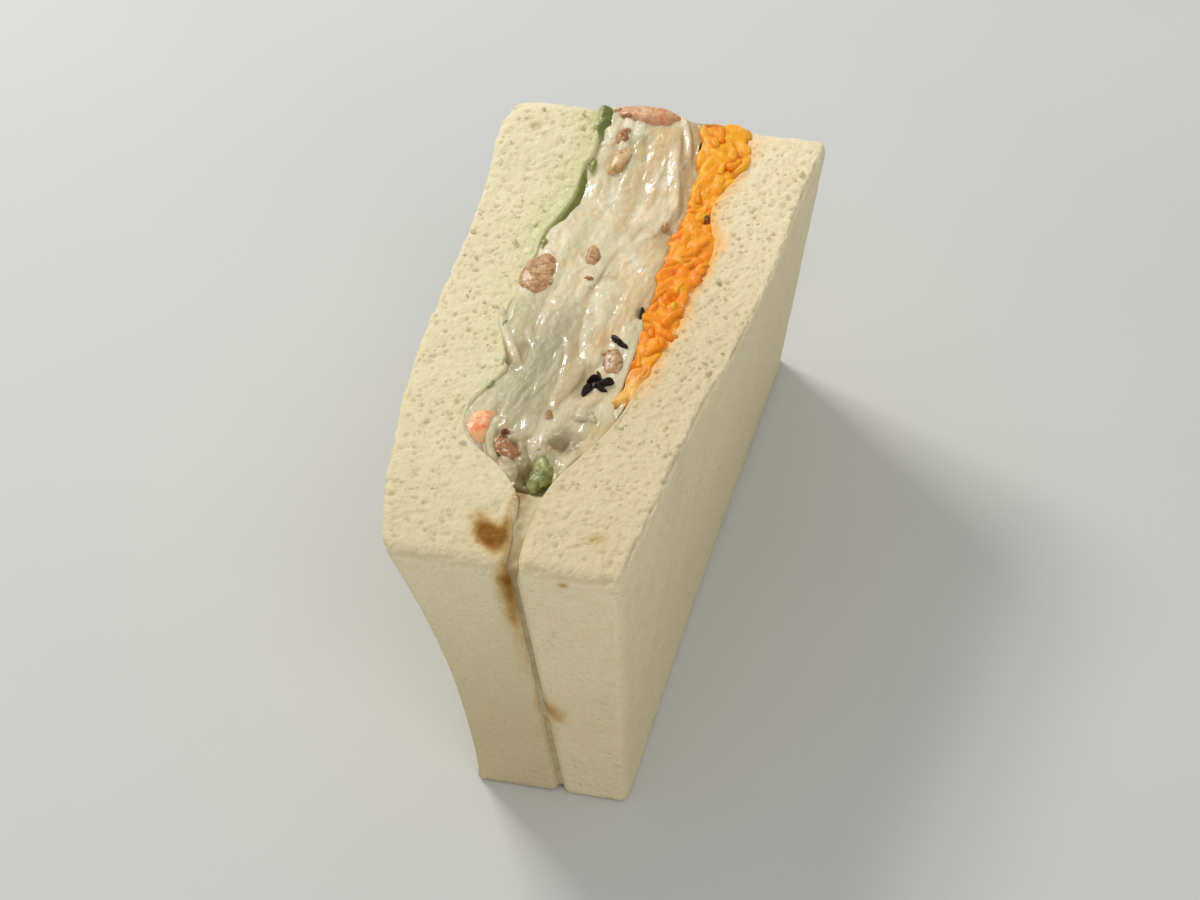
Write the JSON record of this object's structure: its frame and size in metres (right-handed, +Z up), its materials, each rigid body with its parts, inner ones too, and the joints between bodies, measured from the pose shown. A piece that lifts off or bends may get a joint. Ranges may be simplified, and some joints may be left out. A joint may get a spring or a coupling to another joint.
{
  "type": "vegetable sandwich",
  "caption": "Half of a crustless white bread sandwich filled with lettuce, dressed cabbage, carrot shreds, ham and wood ear, standing on its trimmed edge with the cut face up.",
  "frame": {"origin": "bottom centre of the box round the whole sandwich", "axes": "+Z up out of the cut face, +Y along the cut face towards its raised end, +X across the slices"},
  "size_m": [0.0504, 0.097, 0.0513],
  "materials": {
    "bread": "soft open crumb",
    "lettuce": "moist leaf",
    "cabbage": "translucent, wet with dressing",
    "carrot": "moist shreds",
    "ham": "moist, cut",
    "wood_ear": "wet, nearly black"
  },
  "bodies": {
    "root": {"bread_left": "bread", "bread_right": "bread", "lettuce": "lettuce", "cabbage": "cabbage", "cabbage_rib": "cabbage", "carrot": "carrot", "ham_left": "ham", "ham_back": "ham", "ham_tan": "ham", "ham_front": "ham", "ham_right": "ham", "ham_sliver": "ham", "leaf_tip": "lettuce", "wood_ear_strip": "wood_ear", "wood_ear_lump": "wood_ear", "wood_ear_bit": "wood_ear"}
  },
  "joints": []
}
